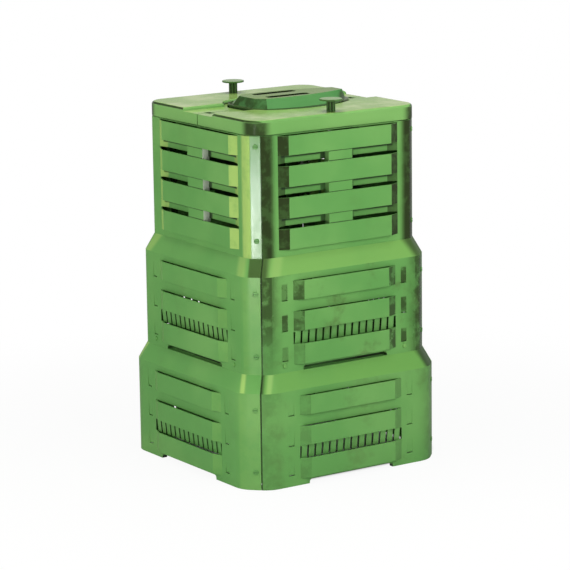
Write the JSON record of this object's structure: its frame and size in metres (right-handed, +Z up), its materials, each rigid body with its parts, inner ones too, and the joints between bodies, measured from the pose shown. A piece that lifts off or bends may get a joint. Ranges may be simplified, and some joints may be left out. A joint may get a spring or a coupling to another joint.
{
  "type": "compost bin",
  "caption": "Square stepped compost bin of slotted plastic panel rings pinned at the corners, with a hinged lid in two halves, a central lift handle and pull knobs.",
  "frame": {"origin": "on the ground under the middle of the bin", "axes": "+Z up, -Y towards the front face with the right face at +X"},
  "size_m": [0.714, 0.714, 1.1],
  "materials": {
    "panel_plastic": "moulded satin green plastic",
    "lid_plastic": "moulded satin green plastic",
    "knob_plastic": "moulded satin green plastic",
    "pin_plastic": "moulded satin green plastic",
    "clip_plastic": "moulded green plastic",
    "steel": "plain"
  },
  "bodies": {
    "bin": {"lower_front_panel": "panel_plastic", "lower_right_panel": "panel_plastic", "lower_rear_panel": "panel_plastic", "lower_left_panel": "panel_plastic", "middle_front_panel": "panel_plastic", "middle_right_panel": "panel_plastic", "middle_rear_panel": "panel_plastic", "middle_left_panel": "panel_plastic", "upper_front_panel": "panel_plastic", "upper_right_panel": "panel_plastic", "upper_rear_panel": "panel_plastic", "upper_left_panel": "panel_plastic", "lower_corner_pins": "pin_plastic", "middle_corner_pins": "pin_plastic", "upper_corner_pins": "pin_plastic", "tier_clips": "clip_plastic"},
    "lid": {"lid_bridge": "lid_plastic", "handle_cap": "lid_plastic", "handle_screws": "steel", "front_hinge_pins": "steel", "rear_hinge_pins": "steel"},
    "front_flap": {"front_lid": "lid_plastic"},
    "rear_flap": {"rear_lid": "lid_plastic"},
    "front_pull": {"front_knob": "knob_plastic"},
    "rear_pull": {"rear_knob": "knob_plastic"}
  },
  "joints": [
    {"name": "lid_lift", "type": "slide", "parent": "bin", "child": "lid", "axis": [0, 0, 1], "range_m": [0, 0.2]},
    {"name": "front_flap_hinge", "type": "hinge", "parent": "lid", "child": "front_flap", "pos_m": [0, -0.009, 1.0475], "axis": [-1, 0, 0], "range_deg": [0, 65]},
    {"name": "rear_flap_hinge", "type": "hinge", "parent": "lid", "child": "rear_flap", "pos_m": [0, 0.009, 1.0475], "axis": [1, 0, 0], "range_deg": [0, 65]},
    {"name": "front_knob_pull", "type": "slide", "parent": "front_flap", "child": "front_pull", "axis": [0, 0, 1], "range_m": [0, 0.024]},
    {"name": "rear_knob_pull", "type": "slide", "parent": "rear_flap", "child": "rear_pull", "axis": [0, 0, 1], "range_m": [0, 0.024]}
  ]
}
